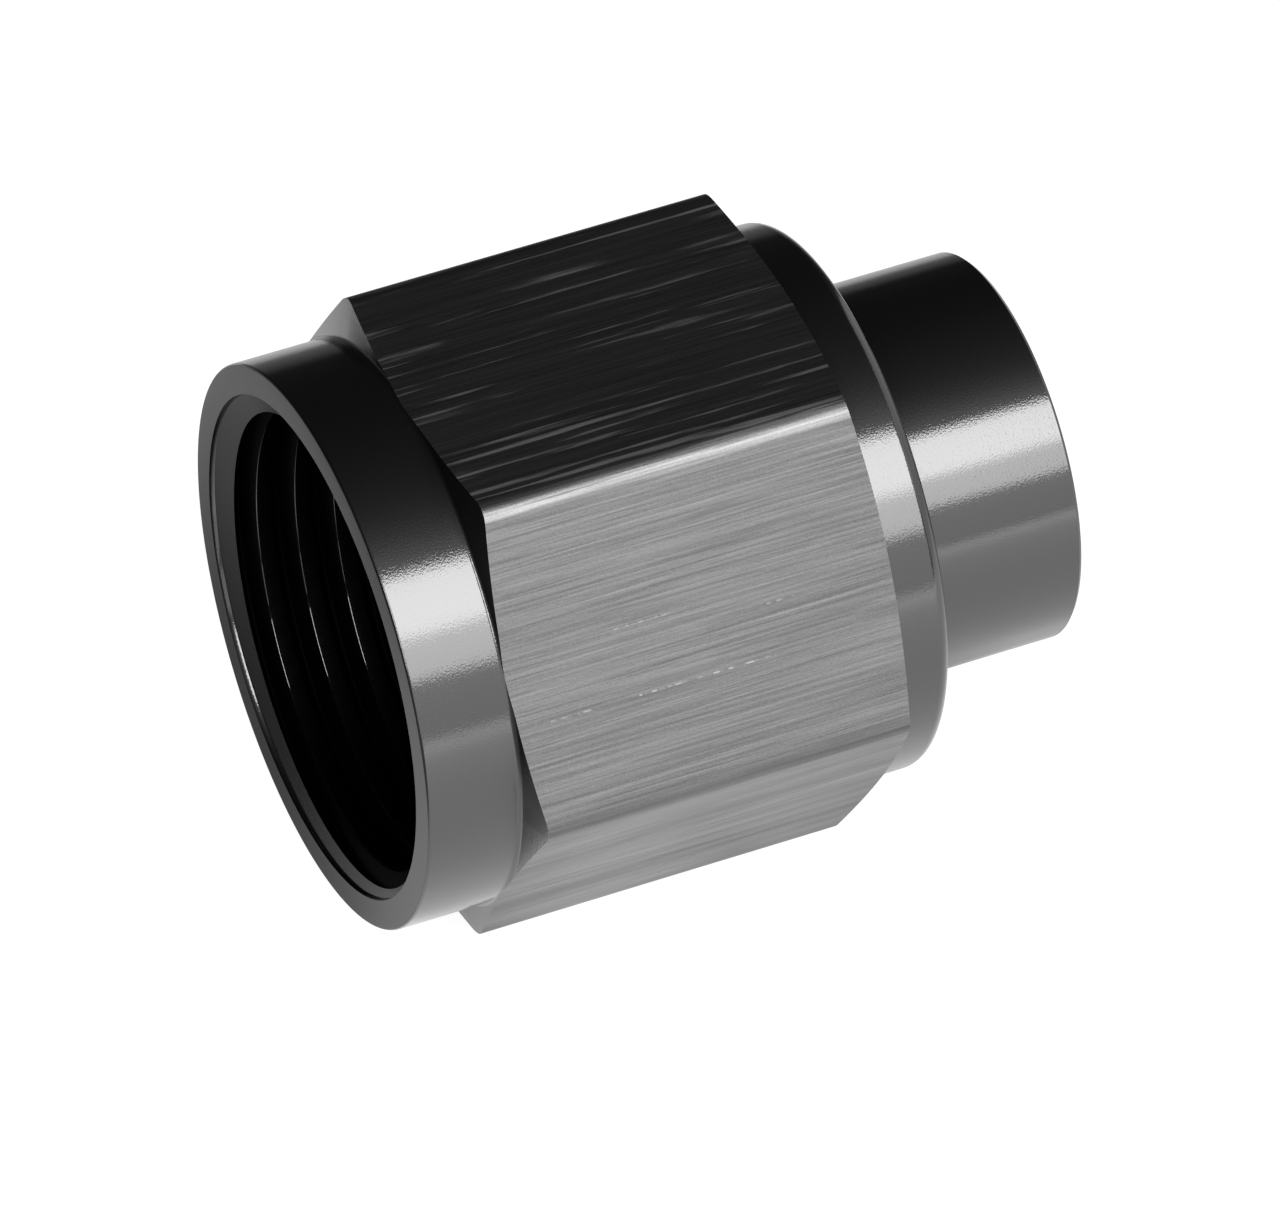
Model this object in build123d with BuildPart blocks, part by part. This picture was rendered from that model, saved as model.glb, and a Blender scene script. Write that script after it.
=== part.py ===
from build123d import *

import os
from math import radians, tan

# A flare cap: it screws over the end of a 37 degree flared tube fitting and
# keeps the thread and the sealing nose clean. One piece, turned from hexagon bar.
#
# Origin: on the axis, in the plane of the mouth. +X runs from the mouth to the
# boss, +Z is up, and the cap lies on one flat of its hexagon.

INCH = 25.4

# Hexagon bar
across_flats = 1.0 * INCH
bar_corner_radius = 0.4

# Outside, along the axis
collar_length = 4.25
hexagon_length = 17.95
land_length = 2.42
boss_length = 7.88

# Outside, across the axis
collar_diameter = 25.32
land_diameter = 24.64
boss_diameter = 11 / 16 * INCH

# Edges and corners of the outside
hexagon_chamfer_angle = 15.0  # degrees, from a plane square to the axis
collar_edge_break = 0.2
collar_root_radius = 0.25
land_edge_radius = 0.6
boss_root_radius = 0.3
boss_edge_break = 0.15

# Internal thread 7/8-14: the bore stands at the crests, the minor diameter
thread_minor_diameter = 20.6
thread_depth = 11.4  # from the mouth to the end of the full thread
lead_in_angle = 60.0  # degrees, from the axis

# Counterbore ahead of the thread
counterbore_diameter = 22.6
counterbore_depth = 0.2

# Relief behind the thread, where the tap runs out
relief_diameter = 22.6
relief_width = 2.0

# Seat for the 37 degree nose, and the blind pocket behind it
seat_half_angle = 37.0  # degrees, from the axis
seat_mouth_diameter = 19.4
pocket_diameter = 12.4
pocket_length = 2.0
drill_point_angle = 118.0

# Places along the axis
collar_end = collar_length
hexagon_end = collar_end + hexagon_length
land_end = hexagon_end + land_length
boss_end = land_end + boss_length
lead_in_end = counterbore_depth + (
    counterbore_diameter - thread_minor_diameter
) / 2 / tan(radians(lead_in_angle))
relief_end = thread_depth + relief_width
pocket_start = relief_end + (seat_mouth_diameter - pocket_diameter) / 2 / tan(
    radians(seat_half_angle)
)
pocket_end = pocket_start + pocket_length
drill_point = pocket_end + pocket_diameter / 2 / tan(radians(drill_point_angle / 2))

# The chamfers of the hexagon run on past its corners, which cut them off
envelope_diameter = 1.2 * across_flats
front_chamfer = (envelope_diameter - collar_diameter) / 2 * tan(
    radians(hexagon_chamfer_angle)
)
rear_chamfer = (envelope_diameter - land_diameter) / 2 * tan(
    radians(hexagon_chamfer_angle)
)


def corner_at(section, x, diameter):
    """The corner of a turned section at one place along and across the axis."""
    return section.vertices().sort_by_distance((x, diameter / 2, 0))[0]


with BuildPart() as flare_cap:
    # Blank: a length of hexagon bar, on one of its flats
    with BuildSketch(Plane.YZ) as bar_section:
        RegularPolygon(across_flats / 2, 6, major_radius=False)
        fillet(bar_section.vertices(), bar_corner_radius)
    extrude(amount=boss_end)

    # Outside: what the turning leaves of the bar
    with BuildSketch(Plane.XZ) as outside:
        with BuildLine():
            Polyline(
                (0, 0),
                (0, collar_diameter / 2),
                (collar_end, collar_diameter / 2),
                (collar_end + front_chamfer, envelope_diameter / 2),
                (hexagon_end - rear_chamfer, envelope_diameter / 2),
                (hexagon_end, land_diameter / 2),
                (land_end, land_diameter / 2),
                (land_end, boss_diameter / 2),
                (boss_end, boss_diameter / 2),
                (boss_end, 0),
                close=True,
            )
        make_face()
        fillet(corner_at(outside, collar_end, collar_diameter), collar_root_radius)
        fillet(corner_at(outside, land_end, land_diameter), land_edge_radius)
        fillet(corner_at(outside, land_end, boss_diameter), boss_root_radius)
        chamfer(corner_at(outside, 0, collar_diameter), collar_edge_break)
        chamfer(corner_at(outside, boss_end, boss_diameter), boss_edge_break)
    revolve(axis=Axis.X, mode=Mode.INTERSECT)

    # Inside: counterbore, bore of the thread, relief, seat and blind pocket
    with BuildSketch(Plane.XZ) as inside:
        with BuildLine():
            Polyline(
                (0, 0),
                (0, counterbore_diameter / 2),
                (counterbore_depth, counterbore_diameter / 2),
                (lead_in_end, thread_minor_diameter / 2),
                (thread_depth, thread_minor_diameter / 2),
                (thread_depth, relief_diameter / 2),
                (relief_end, relief_diameter / 2),
                (relief_end, seat_mouth_diameter / 2),
                (pocket_start, pocket_diameter / 2),
                (pocket_end, pocket_diameter / 2),
                (drill_point, 0),
                close=True,
            )
        make_face()
    revolve(axis=Axis.X, mode=Mode.SUBTRACT)

flare_cap.part.label = "flare_cap"

os.makedirs("parts", exist_ok=True)
export_step(flare_cap.part, "parts/flare_cap.step")
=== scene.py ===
from math import cos, pi, radians, sin, tan

import bmesh
import bpy
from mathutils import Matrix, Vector


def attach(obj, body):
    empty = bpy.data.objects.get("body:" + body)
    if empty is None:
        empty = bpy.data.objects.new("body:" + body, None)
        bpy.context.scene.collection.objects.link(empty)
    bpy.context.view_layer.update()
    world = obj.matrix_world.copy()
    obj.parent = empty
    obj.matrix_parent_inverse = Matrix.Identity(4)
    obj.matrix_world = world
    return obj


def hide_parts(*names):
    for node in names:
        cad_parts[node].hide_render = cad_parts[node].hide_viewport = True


# Threaded protection cap: one piece of black anodised aluminium, turned from hexagon bar.
# The axis is X, from the mouth to the boss, and the cap lies on one flat of its hexagon.

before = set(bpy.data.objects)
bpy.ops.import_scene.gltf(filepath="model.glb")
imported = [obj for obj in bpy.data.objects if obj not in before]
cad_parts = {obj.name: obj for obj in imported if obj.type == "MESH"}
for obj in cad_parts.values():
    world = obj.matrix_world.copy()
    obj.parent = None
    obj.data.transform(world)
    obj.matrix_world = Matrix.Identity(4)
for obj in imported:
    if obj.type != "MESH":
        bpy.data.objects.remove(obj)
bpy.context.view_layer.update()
mm = 0.001
closeness = 0.001  # mm: corners nearer to each other than this are one corner

# sizes of the cap in mm: radii are from the axis, places are from the mouth
cap = {
    "acrossFlats": 25.4,
    "barCorner": 0.75,  # how far each long corner of the drawn bar is softened
    "cornerProfile": 0.58,  # 0.5 is a round corner, more is a crisper one
    "cornerSteps": 12,
    "barSpare": 1.0,  # the bar is this much longer than the cap at each end
    "steps": 288,  # facets round the axis
    "roundStep": 11,  # degrees to a facet of a rounded corner
    "smoothAngle": 32,  # degrees: a sharper bend stays an edge
    "collarRadius": 12.66,
    "collarEnd": 4.25,
    "collarRoot": 0.25,
    "mouthBreak": 0.12,  # radius of the mouth's outer edge
    "hexEnd": 22.2,
    "hexChamfer": 15.0,  # degrees
    "chamferTop": 15.24,  # the chamfers run on past the corners of the bar
    "landRadius": 12.32,
    "landEnd": 24.62,
    "landEdge": 0.6,
    "bossRadius": 8.73125,
    "bossRoot": 0.3,
    "bossEnd": 32.5,
    "bossBreak": 0.15,
    "counterboreRadius": 11.3,
    "counterboreWall": 0.12,  # end of its straight wall: a short taper leads to the lead-in
    "counterboreTaper": 0.24,
    "taperRadius": 11.25,
    "leadInEnd": 0.777,
    "minorRadius": 10.3,
    "threadEnd": 11.39,
    "reliefRadius": 11.3,
    "reliefEnd": 13.4,
    "seatRadius": 9.7,
    "pocketRadius": 6.2,
    "pocketStart": 18.044,
    "pocketEnd": 20.044,
    "drillPoint": 23.77,
}

# the 7/8-14 thread, right-handed, in mm
thread = {
    "pitch": 25.4 / 14,
    "turns": 8,
    "steps": 240,  # facets a turn
    "start": -1.9,  # middle of the groove where it stands straight up, ahead of the mouth
    "rootRadius": 11.1125,
    "rootHalf": 0.05,  # half widths of the groove
    "crestHalf": 0.519,
    "crestRound": 0.1,
    "roundAngles": (270, 242, 210),  # degrees, where the round over of a crest has its points
    "innerRadius": 9.9,  # the cutter reaches in to here, clear of the crests
    "crestBand": (-0.03, 0.01),  # how far in and out from the minor radius a crest's faces are
}


def deselectAll():
    if bpy.context.mode != "OBJECT":
        bpy.ops.object.mode_set(mode="OBJECT")
    bpy.ops.object.select_all(action="DESELECT")


def activate(piece):
    deselectAll()
    piece.select_set(True)
    bpy.context.view_layer.objects.active = piece


def drawSection(name, corners, closed=False):
    # draws a half section, along the axis and out from it, by pulling one vertex along
    deselectAll()
    x, radius = corners[0][:2]
    bpy.ops.mesh.primitive_plane_add(size=mm, location=(x * mm, 0, radius * mm))
    piece = bpy.context.object
    piece.name = name
    bpy.ops.object.transform_apply(location=True, rotation=True, scale=True)
    bpy.ops.object.mode_set(mode="EDIT")
    bpy.ops.mesh.select_mode(type="VERT")
    bpy.ops.mesh.select_all(action="SELECT")
    bpy.ops.mesh.merge(type="CENTER")
    for corner in corners[1:]:
        step = ((corner[0] - x) * mm, 0, (corner[1] - radius) * mm)
        bpy.ops.mesh.extrude_vertices_move(TRANSFORM_OT_translate={"value": step})
        x, radius = corner[:2]
    if closed:
        first, last = Vector((corners[0][0], 0, corners[0][1])), Vector((x, 0, radius))
        shape = bmesh.from_edit_mesh(piece.data)
        for corner in shape.verts:
            away = min((corner.co / mm - first).length, (corner.co / mm - last).length)
            corner.select_set(away < closeness)
        bmesh.update_edit_mesh(piece.data)
        bpy.ops.mesh.edge_face_add()
    return piece


def roundCorners(piece, corners):
    # rounds those corners of a drawn section that give a radius
    for x, radius, rounding, turn in [c for c in corners if len(c) == 4]:
        bpy.ops.mesh.select_all(action="DESELECT")
        shape = bmesh.from_edit_mesh(piece.data)
        for corner in shape.verts:
            corner.select_set((corner.co / mm - Vector((x, 0, radius))).length < closeness)
        bmesh.update_edit_mesh(piece.data)
        bpy.ops.mesh.bevel(
            affect="VERTICES",
            offset_type="OFFSET",
            offset=rounding * tan(radians(turn) / 2) * mm,
            segments=max(3, round(turn / cap["roundStep"])),
        )


def cutWith(piece, tool, operation):
    # a boolean modifier with another piece, applied, after which the tool is deleted
    activate(piece)
    cut = piece.modifiers.new("cut", "BOOLEAN")
    cut.object = tool
    cut.operation = operation
    cut.solver = "EXACT"
    cut.material_mode = "TRANSFER"
    bpy.ops.object.modifier_apply(modifier=cut.name)
    deselectAll()
    tool.select_set(True)
    bpy.ops.object.delete()


def giveMaterial(piece, material):
    piece.data.materials.clear()
    piece.data.materials.append(material)


# materials

def colour(hexText):
    # an sRGB hex colour as the linear one that a socket takes
    parts = [int(hexText[i:i + 2], 16) / 255 for i in (1, 3, 5)]
    return [c / 12.92 if c <= 0.04045 else ((c + 0.055) / 1.055) ** 2.4 for c in parts] + [1]


def addNode(material, kind, settings=None, links=None):
    # settings go to the node's properties or its sockets, links name what feeds a socket
    node = material.node_tree.nodes.new(kind)
    for name, value in (settings or {}).items():
        if isinstance(name, str) and hasattr(node, name):
            setattr(node, name, value)
        else:
            node.inputs[name].default_value = value
    for name, source in (links or {}).items():
        material.node_tree.links.new(source, node.inputs[name])
    return node


# anodised aluminium: a thin clear oxide over metal that the dye has made black. The dyed
# metal gives a soft wide gloss, the oxide over it a tighter one that whitens at the edges

# the finishes of the cap. metal and edge are hex colours: edge dims the metal at low angles,
# where light takes a long way through the dye. oxide is how much of the clear layer shows.
# With turn 0 the gloss spreads round the axis, with 0.25 along it. feed is the spacing of the
# tool's rings in mm, ringDepth and grainDepth are how strongly rings and etched grain show
finishes = {
    "turned": {
        "metal": "#373737", "edge": "#c8c8c8", "roughness": 0.42,
        "oxide": 1.0, "oxideRoughness": 0.05, "anisotropy": 0.2, "turn": 0.25,
        "feed": 0.08, "ringDepth": 0.1, "grainDepth": 0.22,
    },
    # faced: its darker metal and thinner oxide than turned are painted shade
    "faced": {
        "metal": "#282828", "edge": "#c8c8c8", "roughness": 0.5,
        "oxide": 0.45, "oxideRoughness": 0.25, "anisotropy": 0.2, "turn": 0.25,
        "feed": 0.1, "ringDepth": 0.2, "grainDepth": 0.3,
    },
    # tapped: its near black metal, black edge and thin oxide are painted shade for the inside of
    # the bore
    "tapped": {
        "metal": "#0b0b0b", "edge": "#000000", "roughness": 0.5,
        "oxide": 0.06, "oxideRoughness": 0.4, "anisotropy": 0.0, "turn": 0.0,
        "feed": 0.1, "ringDepth": 0.2, "grainDepth": 0.3,
    },
    # crest: the darker metal and black edge are painted shade inside the bore; the tight gloss is
    # the burnish
    "crest": {
        "metal": "#1a1a1a", "edge": "#000000", "roughness": 0.15,
        "oxide": 1.0, "oxideRoughness": 0.04, "anisotropy": 0.0, "turn": 0.0,
    },
    "drawn": {
        # metal, edge and roughness are middle values, which lines, scores and streaks vary
        "metal": "#585858", "edge": "#dcdcdc", "roughness": 0.42,
        "oxide": 0.5, "oxideRoughness": 0.3, "anisotropy": 0.5, "turn": 0.0,
        # lengths along the bar and widths in mm: a feature is about half as wide as it says
        "lines": (9.0, 0.14),
        "scores": (12.0, 0.36),
        "streaks": (30.0, 1.5),
        "grain": 0.1,  # etched grain, coarser than the real one, which is too fine to show
        "dash": 0.55,  # of the scratches
        "tones": ("#464646", "#646464"),  # of the metal, in and beside the lines
        "edges": ("#b4b4b4", "#fafafa"),  # of the metal at low angles, in and beside the streaks
        "bareMetal": "#828282",
        "lineRoughness": 0.36,
        "scoreRoughness": 0.32,  # what a score adds to it
        "lineDepth": 0.45,
        # scratches on the upper front flat: from and to along the cap, height above the axis
        # and strength, and how far the middle and the edge of one are from its line
        "scratches": [
            (5.5, 7.8, 4.25, 0.8),
            (9.6, 16.0, 4.25, 1.0),
            (9.0, 12.7, 6.95, 0.5),
            (16.3, 17.6, 6.22, 0.7),
        ],
        "scratchReach": (0.02, 0.05),
    },
}
bumpHeight = 0.02 * mm  # full height of rings, lines and grain
turnedGrain = 0.08  # mm, coarser than real etched grain, which is too fine to show


def newAnodised(name, finish):
    material = bpy.data.materials.new(name)
    material.use_nodes = True
    material.node_tree.nodes.clear()
    around = addNode(material, "ShaderNodeTangent", {"direction_type": "RADIAL", "axis": "X"})
    surface = addNode(material, "ShaderNodeBsdfPrincipled", {
        "Base Color": colour(finish["metal"]),
        "Specular Tint": colour(finish["edge"]),
        "Metallic": 1.0,
        "Roughness": finish["roughness"],
        "Anisotropic": finish["anisotropy"],
        "Anisotropic Rotation": finish["turn"],
        "Coat Weight": finish["oxide"],
        "Coat Roughness": finish["oxideRoughness"],
        "Coat IOR": 1.6,
    }, {"Tangent": around.outputs["Tangent"]})
    addNode(material, "ShaderNodeOutputMaterial", links={"Surface": surface.outputs[0]})
    place = addNode(material, "ShaderNodeTexCoord").outputs["Object"]
    return material, surface, place


def giveBump(material, surface, bump):
    for socket in ("Normal", "Coat Normal"):
        material.node_tree.links.new(bump.outputs["Normal"], surface.inputs[socket])


def addTurning(material, surface, place, finish):
    # tool marks as rings round the axis, on cylinders and faces alike, and the fine etched
    # grain that anodising leaves
    parts = addNode(material, "ShaderNodeSeparateXYZ", links={0: place})
    flat = addNode(material, "ShaderNodeCombineXYZ", links={
        "Y": parts.outputs["Y"], "Z": parts.outputs["Z"]})
    away = addNode(material, "ShaderNodeVectorMath", {"operation": "LENGTH"}, {0: flat.outputs[0]})
    rings = addNode(material, "ShaderNodeCombineXYZ", links={
        "X": parts.outputs["X"], "Y": away.outputs["Value"]})
    marks = addNode(material, "ShaderNodeTexNoise", {
        "Scale": 1 / (2 * finish["feed"] * mm), "Detail": 2.0}, {"Vector": rings.outputs[0]})
    grain = addNode(material, "ShaderNodeTexNoise", {
        "Scale": 1 / (turnedGrain * mm), "Detail": 2.0}, {"Vector": place})
    low = addNode(material, "ShaderNodeBump", {
        "Strength": finish["ringDepth"], "Distance": bumpHeight}, {
        "Height": marks.outputs["Fac"]})
    high = addNode(material, "ShaderNodeBump", {
        "Strength": finish["grainDepth"], "Distance": bumpHeight}, {
        "Height": grain.outputs["Fac"], "Normal": low.outputs["Normal"]})
    giveBump(material, surface, high)


def turnedAluminium():
    # finish-turned on a lathe: a satin black mirror with very fine rings
    finish = finishes["turned"]
    material, surface, place = newAnodised("anodised aluminium, turned", finish)
    addTurning(material, surface, place, finish)
    return material


def facedAluminiumPaintedShade():
    # the mouth's face and lead-in, cut across the bar: coarser marks, so a duller gloss; the
    # darker metal and thinner oxide are painted shade for the shadow that the face and lead-in
    # mirror
    finish = finishes["faced"]
    material, surface, place = newAnodised("anodised aluminium, faced, painted shade", finish)
    addTurning(material, surface, place, finish)
    return material


def tappedAluminiumPaintedShade():
    # the bore and the flanks of the thread: torn a little by the tap, so rougher; the near black
    # metal, black edge and thin oxide are painted shade that keeps the bore dark
    finish = finishes["tapped"]
    material, surface, place = newAnodised("anodised aluminium, tapped, painted shade", finish)
    addTurning(material, surface, place, finish)
    return material


def crestAluminium():
    # the crests of the thread, burnished by the tap, which catch the light as thin lines; their
    # darker metal and black edge are painted shade that dims what they mirror inside the bore
    return newAnodised("anodised aluminium, burnished crest", finishes["crest"])[0]


def addAlongBar(material, place, size, settings):
    # noise drawn out along the bar: size is its length and width in mm
    length, width = size
    drawn = addNode(material, "ShaderNodeMapping", {
        "Scale": (1 / (length * mm), 1 / (width * mm), 1 / (width * mm))}, {"Vector": place})
    noise = addNode(material, "ShaderNodeTexNoise", {"Scale": 1.0, **settings}, {
        "Vector": drawn.outputs[0]})
    return noise.outputs["Fac"]


def addScratches(material, place, finish):
    # dashed scratches along the front flat: 1 where the bare metal shows through
    parts = addNode(material, "ShaderNodeSeparateXYZ", links={0: place})
    section = addNode(material, "ShaderNodeCombineXYZ", links={
        "Y": parts.outputs["Y"], "Z": parts.outputs["Z"]})
    dashes = addNode(material, "ShaderNodeTexNoise", {
        "noise_dimensions": "1D", "Scale": 1 / (finish["dash"] * mm), "Detail": 3.0}, {
        "W": parts.outputs["X"]})
    broken = addNode(material, "ShaderNodeMapRange", {
        "From Min": 0.46, "From Max": 0.62}, {
        "Value": dashes.outputs["Fac"]})
    middle, rim = finish["scratchReach"]
    scratched = None
    for first, last, z, strength in finish["scratches"]:
        y = z / tan(radians(60)) - cap["acrossFlats"] / 2 / cos(radians(30))
        across = addNode(material, "ShaderNodeVectorMath", {
            "operation": "DISTANCE", 1: (0, y * mm, z * mm)}, {0: section.outputs[0]})
        depth = addNode(material, "ShaderNodeMapRange", {
            "From Min": middle * mm, "From Max": rim * mm, "To Min": strength, "To Max": 0.0}, {
            "Value": across.outputs["Value"]})
        along = addNode(material, "ShaderNodeMath", {
            "operation": "COMPARE", 1: (first + last) / 2 * mm, 2: (last - first) / 2 * mm}, {
            0: parts.outputs["X"]})
        inside = addNode(material, "ShaderNodeMath", {"operation": "MULTIPLY"}, {
            0: along.outputs[0], 1: depth.outputs["Result"]})
        scratched = inside if scratched is None else addNode(
            material, "ShaderNodeMath", {"operation": "MAXIMUM"}, {
                0: scratched.outputs[0], 1: inside.outputs[0]})
    bare = addNode(material, "ShaderNodeMath", {"operation": "MULTIPLY"}, {
        0: scratched.outputs[0], 1: broken.outputs["Result"]})
    return bare.outputs[0]


def drawnAluminium():
    # flats of the drawn bar: close fine lines along the axis, which break up the gloss
    finish = finishes["drawn"]
    material, surface, place = newAnodised("anodised aluminium, drawn bar", finish)
    lines = addAlongBar(material, place, finish["lines"], {"Detail": 3.0, "Roughness": 0.65})
    # a few longer scores, rougher and lighter, that catch the lamp on the dark top flat
    scores = addAlongBar(material, place, finish["scores"], {"Detail": 4.0, "Roughness": 0.6})
    scored = addNode(material, "ShaderNodeMapRange", {
        "From Min": 0.56, "From Max": 0.66, "To Min": 0.0, "To Max": finish["scoreRoughness"]}, {
        "Value": scores}).outputs["Result"]
    rough = addNode(material, "ShaderNodeMath", {
        "operation": "ADD", 1: finish["lineRoughness"]}, {0: scored})
    # the dye is a little uneven in broad streaks along the bar, which shows at low angles
    streaks = addAlongBar(material, place, finish["streaks"], {"Detail": 4.0, "Roughness": 0.9})
    dyed = addNode(material, "ShaderNodeMapRange", {
        "From Min": 0.35, "From Max": 0.65}, {"Value": streaks})
    thin, thick = finish["edges"]
    edge = addNode(material, "ShaderNodeMix", {
        "data_type": "RGBA", 6: colour(thin), 7: colour(thick)}, {0: dyed.outputs["Result"]})
    # the etched grain over the lines
    grain = addNode(material, "ShaderNodeTexNoise", {
        "Scale": 1 / (finish["grain"] * mm), "Detail": 2.0}, {"Vector": place})
    both = addNode(material, "ShaderNodeMath", {"operation": "MULTIPLY_ADD", 1: 0.3}, {
        0: grain.outputs["Fac"], 2: lines}).outputs[0]
    shade = addNode(material, "ShaderNodeMapRange", {
        "From Min": 0.45, "From Max": 0.85}, {"Value": both})
    lighter = addNode(material, "ShaderNodeMath", {"operation": "MULTIPLY_ADD", 1: 1.3}, {
        0: scored, 2: shade.outputs["Result"]})
    dark, light = finish["tones"]
    tone = addNode(material, "ShaderNodeMix", {
        "data_type": "RGBA", 6: colour(dark), 7: colour(light)}, {0: lighter.outputs[0]})
    worn = addNode(material, "ShaderNodeMix", {
        "data_type": "RGBA", 7: colour(finish["bareMetal"])}, {
        0: addScratches(material, place, finish), 6: tone.outputs[2]})
    bump = addNode(material, "ShaderNodeBump", {
        "Strength": finish["lineDepth"], "Distance": bumpHeight}, {"Height": both})
    links = material.node_tree.links
    links.new(rough.outputs[0], surface.inputs["Roughness"])
    links.new(edge.outputs[2], surface.inputs["Specular Tint"])
    links.new(worn.outputs[2], surface.inputs["Base Color"])
    giveBump(material, surface, bump)
    return material


turnedMetal = turnedAluminium()
facedMetalPaintedShade = facedAluminiumPaintedShade()
tappedMetalPaintedShade = tappedAluminiumPaintedShade()
crestMetal = crestAluminium()
drawnMetal = drawnAluminium()
print("materials made")


# the cap

def makeTurned():
    # the half section: first the bore, from the drill point out to the mouth, then the outside
    front = (cap["chamferTop"] - cap["collarRadius"]) * tan(radians(cap["hexChamfer"]))
    rear = (cap["chamferTop"] - cap["landRadius"]) * tan(radians(cap["hexChamfer"]))
    slope = 90 - cap["hexChamfer"]
    corners = [
        (cap["drillPoint"], 0),
        (cap["pocketEnd"], cap["pocketRadius"]),
        (cap["pocketStart"], cap["pocketRadius"]),
        (cap["reliefEnd"], cap["seatRadius"]),
        (cap["reliefEnd"], cap["reliefRadius"]),
        (cap["threadEnd"], cap["reliefRadius"]),
        (cap["threadEnd"], cap["minorRadius"]),
        (cap["leadInEnd"], cap["minorRadius"]),
        (cap["counterboreTaper"], cap["taperRadius"]),
        (cap["counterboreWall"], cap["counterboreRadius"]),
        (0, cap["counterboreRadius"]),
        (0, cap["collarRadius"], cap["mouthBreak"], 90),
        (cap["collarEnd"], cap["collarRadius"], cap["collarRoot"], slope),
        (cap["collarEnd"] + front, cap["chamferTop"]),
        (cap["hexEnd"] - rear, cap["chamferTop"]),
        (cap["hexEnd"], cap["landRadius"]),
        (cap["landEnd"], cap["landRadius"], cap["landEdge"], 90),
        (cap["landEnd"], cap["bossRadius"], cap["bossRoot"], 90),
        (cap["bossEnd"] - cap["bossBreak"], cap["bossRadius"]),
        (cap["bossEnd"], cap["bossRadius"] - cap["bossBreak"]),
        (cap["bossEnd"], 0),
    ]
    piece = drawSection("cap", corners)
    roundCorners(piece, corners)
    bpy.ops.mesh.select_all(action="SELECT")
    bpy.ops.mesh.spin(steps=cap["steps"], angle=2 * pi, center=(0, 0, 0), axis=(1, 0, 0))
    bpy.ops.mesh.select_all(action="SELECT")
    bpy.ops.mesh.remove_doubles(threshold=closeness * mm)
    bpy.ops.mesh.normals_make_consistent(inside=False)
    bpy.ops.object.mode_set(mode="OBJECT")
    for material in (turnedMetal, facedMetalPaintedShade, tappedMetalPaintedShade):
        piece.data.materials.append(material)
    # by place: the counterbore's wall is turned, the mouth's face and lead-in are faced, the
    # rest of the bore is tapped and the rest of the outside turned
    turned, faced, tapped = range(3)
    margin = 0.05
    for face in piece.data.polygons:
        x, radius = face.center.x / mm, face.center.yz.length / mm
        if abs(radius - cap["counterboreRadius"]) < margin and x < cap["counterboreTaper"]:
            face.material_index = turned
        elif x < cap["leadInEnd"] and cap["minorRadius"] < radius < cap["collarRadius"] - margin:
            face.material_index = faced
        elif radius < cap["reliefRadius"] + margin and x < cap["drillPoint"] + margin:
            face.material_index = tapped
    return piece


def makeBar():
    # the hexagon bar, longer than the cap, with its six long corners rounded
    deselectAll()
    bpy.ops.mesh.primitive_cylinder_add(
        vertices=6,
        radius=cap["acrossFlats"] / 2 / cos(radians(30)) * mm,
        depth=(cap["bossEnd"] + 2 * cap["barSpare"]) * mm,
        location=(cap["bossEnd"] / 2 * mm, 0, 0),
        rotation=(0, pi / 2, 0),
    )
    bar = bpy.context.object
    bar.name = "bar"
    bpy.ops.object.transform_apply(location=True, rotation=True, scale=True)
    bpy.ops.object.mode_set(mode="EDIT")
    bpy.ops.mesh.select_mode(type="EDGE")
    bpy.ops.mesh.select_all(action="DESELECT")
    shape = bmesh.from_edit_mesh(bar.data)
    for edge in shape.edges:
        edge.select_set(abs(edge.verts[0].co.x - edge.verts[1].co.x) > mm)
    bmesh.update_edit_mesh(bar.data)
    # drawing leaves the flats slightly rounded towards the corners, and the corners crisp
    bpy.ops.mesh.bevel(
        offset=cap["barCorner"] * mm,
        segments=cap["cornerSteps"],
        profile=cap["cornerProfile"],
    )
    bpy.ops.object.mode_set(mode="OBJECT")
    giveMaterial(bar, drawnMetal)
    return bar


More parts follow.
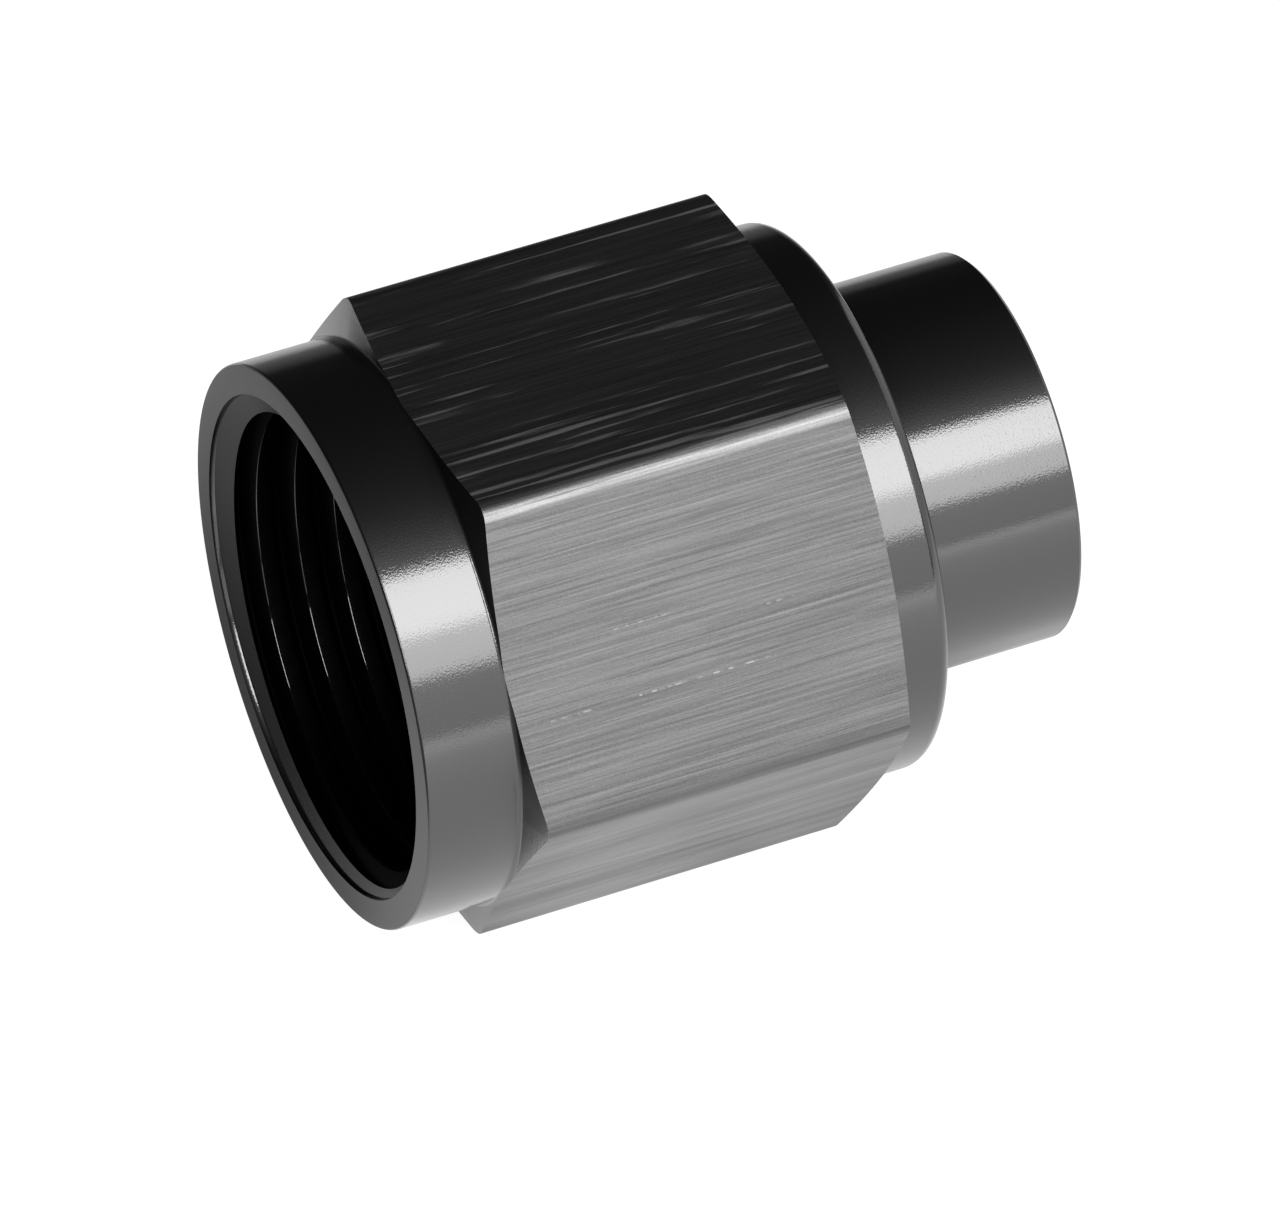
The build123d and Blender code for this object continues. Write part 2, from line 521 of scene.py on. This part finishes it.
def makeGroove():
    # the tap's path: the section of one groove, its crests rounded over, screwed along the axis
    crest, root, rounding = thread["crestHalf"], thread["rootHalf"], thread["crestRound"]
    reach = rounding * tan(radians(30))
    middle = (crest + reach, cap["minorRadius"] + rounding)
    bend = [
        (middle[0] + rounding * cos(radians(a)), middle[1] + rounding * sin(radians(a)))
        for a in thread["roundAngles"]
    ]
    shoulder = (middle[0] + rounding, cap["minorRadius"] - rounding / 10)
    half = [(root, thread["rootRadius"])] + bend[::-1]
    half += [shoulder, (shoulder[0], thread["innerRadius"])]
    ring = half + [(-x, r) for x, r in half[::-1]]
    corners = [(thread["start"] + x, r) for x, r in ring]
    groove = drawSection("groove", corners, closed=True)
    bpy.ops.object.mode_set(mode="OBJECT")
    activate(groove)
    screw = groove.modifiers.new("screw", "SCREW")
    screw.axis = "X"
    screw.angle = 2 * pi
    screw.screw_offset = thread["pitch"] * mm
    screw.iterations = thread["turns"]
    screw.steps = thread["steps"]
    screw.render_steps = thread["steps"]
    screw.use_merge_vertices = False
    bpy.ops.object.modifier_apply(modifier=screw.name)
    bpy.ops.object.mode_set(mode="EDIT")
    bpy.ops.mesh.select_mode(type="EDGE")
    bpy.ops.mesh.select_all(action="DESELECT")
    bpy.ops.mesh.select_non_manifold()
    bpy.ops.mesh.fill_holes(sides=0)
    bpy.ops.mesh.select_all(action="SELECT")
    bpy.ops.mesh.normals_make_consistent(inside=False)
    bpy.ops.object.mode_set(mode="OBJECT")
    giveMaterial(groove, tappedMetalPaintedShade)
    groove.data.materials.append(crestMetal)
    inner, outer = thread["crestBand"]
    for face in groove.data.polygons:
        if inner < face.center.yz.length / mm - cap["minorRadius"] < outer:
            face.material_index = 1
    return groove


capPiece = makeTurned()
print("cap turned:", len(capPiece.data.polygons), "faces")
cutWith(capPiece, makeBar(), "INTERSECT")
print("hexagon cut:", len(capPiece.data.polygons), "faces")
cutWith(capPiece, makeGroove(), "DIFFERENCE")
print("thread cut:", len(capPiece.data.polygons), "faces")

activate(capPiece)
bpy.ops.object.mode_set(mode="EDIT")
bpy.ops.mesh.select_all(action="SELECT")
bpy.ops.mesh.remove_doubles(threshold=closeness / 2 * mm)
bpy.ops.mesh.normals_make_consistent(inside=False)
bpy.ops.object.mode_set(mode="OBJECT")
bpy.ops.object.shade_smooth_by_angle(angle=radians(cap["smoothAngle"]))
even = capPiece.modifiers.new("even", "WEIGHTED_NORMAL")
even.keep_sharp = True
even.weight = 100
bpy.ops.object.modifier_apply(modifier=even.name)

check = bmesh.new()
check.from_mesh(capPiece.data)
loose = sum(1 for edge in check.edges if not edge.is_manifold)
print("cap:", sum(len(f.verts) - 2 for f in check.faces), "triangles,", loose, "open edges")
check.free()

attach(capPiece, "root")
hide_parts("flare_cap")


# floor, light and camera: places and sizes in metres

studio = {
    "floorSize": 4,
    "floorColour": "#8e8e8e",
    "paperGlow": 0.9,  # what the camera sees of the paper, so that it is white
    # what the metal sees of it: painted pools of light and painted shade on the floor, multiplied
    # together. Each has its middle, a near distance from there with its strength, and a far one
    # with its own
    "pools": {
        "front": ((0.016, -0.25, -0.0127), (0.1, 2.0), (0.25, 0.9)),
        "front, far side": ((0.13, -0.4, -0.0127), (0.2, 1.4), (0.3, 1.0)),
        "end of the front": ((0.016, -0.25, -0.0127), (0.308, 1.0), (0.33, 0.0)),
        "shade behind": ((0.010, 0.012, -0.0127), (0.012, 0.25), (0.026, 1.0)),
        "light at the mouth": ((-0.009, 0.0, -0.0127), (0.007, 1.8), (0.015, 1.0)),
        "light by the flat": ((0.011, -0.004, -0.0127), (0.004, 1.5), (0.007, 1.0)),
        "shade by the boss": ((0.026, -0.0045, -0.0127), (0.0025, 0.65), (0.0075, 1.0)),
    },
    "poolSide": (-0.022, -0.011),  # they fade in between these x, in front of the mouth
    # painted shade for the cap's own shadow, seen only in the metal: where it starts and where it
    # is full, first along X, then along Y
    "shadeReach": ((-0.003, 0.001), (-0.0075, -0.003)),
    "shadeDepth": 0.5,
    # soft boxes that look at the cap's axis, with their long side along it: degrees round it
    # from the far side, distance, size, watts, and place along X
    "lamps": {
        "soft box right": (129.0, 0.35, (0.15, 0.149), 0.79, 0.105),
        "soft box right, lower edge": (149.5, 0.35, (0.15, 0.105), 0.31, 0.105),
        "soft box left": (134.5, 0.35, (0.12, 0.221), 0.91, -0.16),
        "front fill": (170.0, 0.4, (0.5, 0.15), 0.33, 0.0),
    },
    "endLamp": ((0.4, -0.07, 0.24), (0.52, 0.74), 1.15),  # past the boss: place, size, watts
    "worldColour": "#2b2b2b",
    "cameraPlace": (-0.184640, -0.432069, 0.451845),
    "cameraTurn": (46.2826, -0.8437, -24.0482),  # degrees
    "cameraSensor": 36,  # mm, as the lens
    "cameraLens": 426.905,
}


def paintedFloorPools(material, place):
    # painted pools of light and painted shade: how strongly the paper glows for the metal, at each
    # place on the floor
    parts = addNode(material, "ShaderNodeSeparateXYZ", links={0: place})
    low, high = studio["poolSide"]
    glow = addNode(material, "ShaderNodeMapRange", {
        "interpolation_type": "SMOOTHSTEP", "From Min": low, "From Max": high}, {
        "Value": parts.outputs["X"]}).outputs["Result"]
    shades = []
    for axis, (start, full) in zip("XY", studio["shadeReach"]):
        shade = addNode(material, "ShaderNodeMapRange", {
            "interpolation_type": "SMOOTHSTEP", "From Min": start, "From Max": full}, {
            "Value": parts.outputs[axis]})
        shades.append(shade.outputs["Result"])
    corner = addNode(material, "ShaderNodeMath", {"operation": "MULTIPLY"}, {
        0: shades[0], 1: shades[1]})
    dimmed = addNode(material, "ShaderNodeMath", {
        "operation": "MULTIPLY_ADD", 1: -studio["shadeDepth"], 2: 1.0}, {0: corner.outputs[0]})
    levels = [dimmed.outputs[0]]
    for middle, (near, strong), (far, weak) in studio["pools"].values():
        away = addNode(material, "ShaderNodeVectorMath", {
            "operation": "DISTANCE", 1: middle}, {0: place})
        level = addNode(material, "ShaderNodeMapRange", {
            "From Min": near, "From Max": far, "To Min": strong, "To Max": weak}, {
            "Value": away.outputs["Value"]})
        levels.append(level.outputs["Result"])
    for level in levels:
        glow = addNode(material, "ShaderNodeMath", {"operation": "MULTIPLY"}, {
            0: glow, 1: level}).outputs[0]
    return glow


def whitePaper():
    # pale matt paper, which glows only for the camera and for what the metal mirrors: it looks
    # white, keeps the cap's shadow and throws no extra light on the cap. What the metal mirrors of
    # it holds painted pools of light and painted shade
    material = bpy.data.materials.new("white paper")
    material.use_nodes = True
    material.node_tree.nodes.clear()
    paper = addNode(material, "ShaderNodeBsdfDiffuse", {"Color": colour(studio["floorColour"])})
    place = addNode(material, "ShaderNodeTexCoord").outputs["Object"]
    path = addNode(material, "ShaderNodeLightPath")
    straight = addNode(material, "ShaderNodeMath", {"operation": "MAXIMUM"}, {
        0: path.outputs["Is Camera Ray"], 1: path.outputs["Is Transmission Ray"]})
    seen = addNode(material, "ShaderNodeMath", {
        "operation": "MULTIPLY", 1: studio["paperGlow"]}, {0: straight.outputs[0]})
    strength = addNode(material, "ShaderNodeMath", {"operation": "MULTIPLY_ADD"}, {
        0: path.outputs["Is Glossy Ray"], 1: paintedFloorPools(material, place), 2: seen.outputs[0]})
    glow = addNode(material, "ShaderNodeEmission", {"Color": (1, 1, 1, 1)}, {
        "Strength": strength.outputs[0]})
    both = addNode(material, "ShaderNodeAddShader", links={
        0: paper.outputs[0], 1: glow.outputs[0]})
    addNode(material, "ShaderNodeOutputMaterial", links={"Surface": both.outputs[0]})
    return material


def makeFloor():
    deselectAll()
    bpy.ops.mesh.primitive_plane_add(
        size=studio["floorSize"], location=(0, 0, -cap["acrossFlats"] / 2 * mm))
    floor = bpy.context.object
    floor.name = "floor"
    bpy.ops.object.transform_apply(location=True, rotation=True, scale=True)
    giveMaterial(floor, whitePaper())


def addLamp(name, place, rotation, size, watts):
    deselectAll()
    bpy.ops.object.light_add(type="AREA", location=place, rotation=rotation)
    lamp = bpy.context.object
    lamp.name = name
    lamp.data.shape = "RECTANGLE"
    lamp.data.size, lamp.data.size_y = size
    lamp.data.energy = watts


def makeLamps():
    for name, (angle, distance, size, watts, shift) in studio["lamps"].items():
        turn = radians(angle)
        place = (shift, distance * cos(turn), distance * sin(turn))
        addLamp(name, place, (turn - pi / 2, 0, 0), size, watts)
    place, size, watts = studio["endLamp"]
    addLamp("soft box end", place, (0, pi / 2, 0), size, watts)


def makeCamera():
    deselectAll()
    turn = [radians(angle) for angle in studio["cameraTurn"]]
    bpy.ops.object.camera_add(location=studio["cameraPlace"], rotation=turn)
    camera = bpy.context.object
    camera.name = "camera"
    camera.data.sensor_width = studio["cameraSensor"]
    camera.data.lens = studio["cameraLens"]
    camera.data.clip_start = 0.01
    camera.data.clip_end = 20
    bpy.context.scene.camera = camera


def makeWorld():
    world = bpy.data.worlds.new("studio")
    world.use_nodes = True
    background = world.node_tree.nodes["Background"]
    background.inputs["Color"].default_value = colour(studio["worldColour"])
    bpy.context.scene.world = world
    bpy.context.scene.view_settings.view_transform = "Standard"


makeFloor()
makeLamps()
makeCamera()
makeWorld()
print("stage ready")
